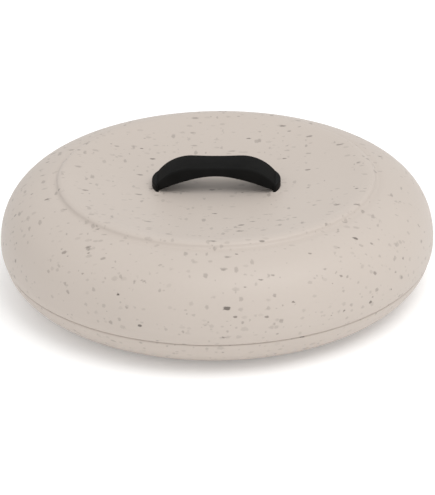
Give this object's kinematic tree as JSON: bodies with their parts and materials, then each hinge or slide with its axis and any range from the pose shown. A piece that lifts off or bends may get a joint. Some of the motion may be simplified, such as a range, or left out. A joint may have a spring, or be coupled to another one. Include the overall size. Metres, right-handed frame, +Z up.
{
  "type": "tortilla warmer",
  "caption": "Round covered dish: shallow plastic base with a foot ring, high domed lid with a dished top that lifts off, and a low arched strap handle.",
  "frame": {"origin": "on the surface it stands on, at the middle of the foot ring", "axes": "+Z up along the axis of the dish and lid, +X along the strap handle"},
  "size_m": [0.2668, 0.2668, 0.0785],
  "materials": {
    "speckled_plastic": "moulded, satin, warm cream with fine brown flecks",
    "handle_plastic": "moulded, satin black",
    "grip_rubber": "matte black, soft touch"
  },
  "bodies": {
    "dish": {"base_dish": "speckled_plastic"},
    "lid": {"lid_shell": "speckled_plastic", "handle_frame": "handle_plastic", "handle_grip": "grip_rubber"}
  },
  "joints": [
    {"name": "lid_lift", "type": "slide", "parent": "dish", "child": "lid", "axis": [0, 0, 1], "range_m": [0, 0.12]}
  ]
}
